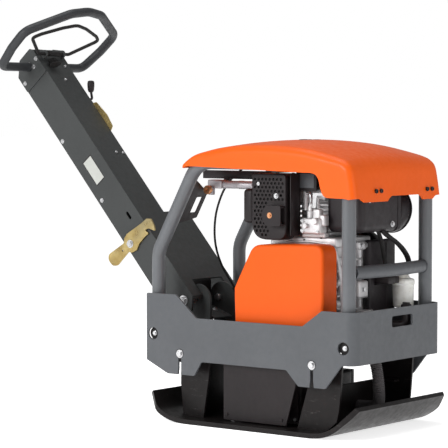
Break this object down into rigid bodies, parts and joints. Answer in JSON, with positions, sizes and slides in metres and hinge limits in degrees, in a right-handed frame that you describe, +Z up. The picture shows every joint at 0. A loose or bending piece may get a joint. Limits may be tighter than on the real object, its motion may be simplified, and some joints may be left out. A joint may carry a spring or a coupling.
{
  "type": "reversible plate compactor",
  "caption": "Reversible vibrating plate compactor with a tipping pole, loop handle, travel lever, engine under a hood in a tube cage, and a sprung base plate.",
  "frame": {"origin": "on the ground plane under the middle of the upper frame, on the flat sole of the base plate", "axes": "+X to the machine's front, +Y to the machine's left, +Z up"},
  "size_m": [1.3872, 0.5313, 1.2422],
  "materials": {
    "orange_shell": "gloss",
    "orange_paint": "gloss",
    "grey_paint": "satin",
    "tube_paint": "satin",
    "dark_paint": "satin",
    "black_paint": "satin",
    "black_plastic": "satin",
    "black_cast": "satin",
    "cast_iron": "satin",
    "cast_aluminium": "satin",
    "bare_steel": "satin",
    "yellow_zinc": "satin",
    "pale_plastic": "satin",
    "rubber": "matte"
  },
  "bodies": {
    "lower_mass": {"base_plate": "cast_iron", "exciter_housing": "cast_iron", "exciter_cover_left": "cast_iron", "exciter_cover_right": "cast_iron", "lower_belt_cover": "black_paint", "buffer_front_left": "rubber", "buffer_front_right": "rubber", "buffer_rear_left": "rubber", "buffer_rear_right": "rubber", "drive_belt": "rubber", "travel_hose": "rubber"},
    "exciter_front": {"exciter_shaft_front": "bare_steel", "exciter_pulley": "bare_steel"},
    "exciter_rear": {"exciter_shaft_rear": "bare_steel"},
    "upper_frame": {"guard_frame": "grey_paint", "cage_tube_left": "tube_paint", "cage_tube_right": "tube_paint", "front_crossbar": "grey_paint", "lifting_eye": "dark_paint", "catch_plate": "dark_paint", "engine_deck": "dark_paint", "pivot_bracket": "dark_paint", "pivot_bolt_left": "bare_steel", "pivot_bolt_right": "bare_steel", "hood": "orange_shell", "crankcase": "cast_aluminium", "cylinder": "cast_aluminium", "cylinder_head": "cast_aluminium", "rocker_cover": "black_cast", "fuel_tank": "black_plastic", "injection_pump": "cast_aluminium", "injector_pipe": "bare_steel", "fan_housing": "black_paint", "air_cleaner": "black_plastic", "air_cleaner_lid": "black_plastic", "fuel_filter": "pale_plastic", "oil_filler_cap": "black_plastic", "muffler": "black_paint", "muffler_guard": "black_paint", "exhaust_outlet": "black_paint", "control_block": "cast_aluminium", "control_cable": "rubber", "belt_guard": "orange_paint", "buffer_bolt_front_left": "bare_steel", "buffer_bolt_front_right": "bare_steel", "buffer_bolt_rear_left": "bare_steel", "buffer_bolt_rear_right": "bare_steel"},
    "crank": {"crankshaft": "bare_steel", "flywheel": "bare_steel", "clutch_pulley": "bare_steel"},
    "recoil": {"recoil_grip": "black_plastic"},
    "pole": {"pole": "dark_paint", "pole_head": "dark_paint", "handle_loop": "tube_paint", "lever_boot": "rubber", "throttle_bracket": "yellow_zinc", "latch_bolt": "bare_steel"},
    "travel_lever": {"travel_lever": "black_paint"},
    "throttle": {"throttle_lever": "black_plastic"},
    "latch": {"latch_hook": "yellow_zinc"}
  },
  "joints": [
    {"name": "suspension", "type": "slide", "parent": "lower_mass", "child": "upper_frame", "axis": [0, 0, 1], "range_m": [-0.004, 0.004], "stiffness_N_per_m": 600000, "springref_m": 0.00273, "deforming": ["buffer_front_left", "buffer_front_right", "buffer_rear_left", "buffer_rear_right", "drive_belt", "travel_hose"]},
    {"name": "pole_tilt", "type": "hinge", "parent": "upper_frame", "child": "pole", "pos_m": [-0.322, 0, 0.348], "axis": [0, 1, 0], "range_deg": [0, 32.5]},
    {"name": "travel_lever", "type": "hinge", "parent": "pole", "child": "travel_lever", "pos_m": [-0.902, -0.057, 1.0996], "axis": [0, 1, 0], "range_deg": [-18, 18]},
    {"name": "throttle", "type": "hinge", "parent": "pole", "child": "throttle", "pos_m": [-0.7841, 0, 0.9109], "axis": [0, 1, 0], "range_deg": [-15, 30]},
    {"name": "latch", "type": "hinge", "parent": "pole", "child": "latch", "pos_m": [-0.5269, -0.12, 0.5119], "axis": [0, 1, 0], "range_deg": [-20, 20]},
    {"name": "crank_spin", "type": "hinge", "parent": "upper_frame", "child": "crank", "pos_m": [0.13, 0, 0.45], "axis": [0, 1, 0], "continuous": true},
    {"name": "exciter_front_spin", "type": "hinge", "parent": "lower_mass", "child": "exciter_front", "pos_m": [0.055, 0, 0.082], "axis": [0, 1, 0], "continuous": true},
    {"name": "exciter_rear_spin", "type": "hinge", "parent": "lower_mass", "child": "exciter_rear", "pos_m": [-0.055, 0, 0.082], "axis": [0, 1, 0], "continuous": true},
    {"name": "recoil_pull", "type": "slide", "parent": "upper_frame", "child": "recoil", "axis": [0, 1, 0], "range_m": [0, 0.25], "stiffness_N_per_m": 40}
  ],
  "couplings": [
    {"joint": "exciter_front_spin", "follows": "crank_spin", "ratio": 1.45},
    {"joint": "exciter_rear_spin", "follows": "crank_spin", "ratio": -1.45}
  ]
}
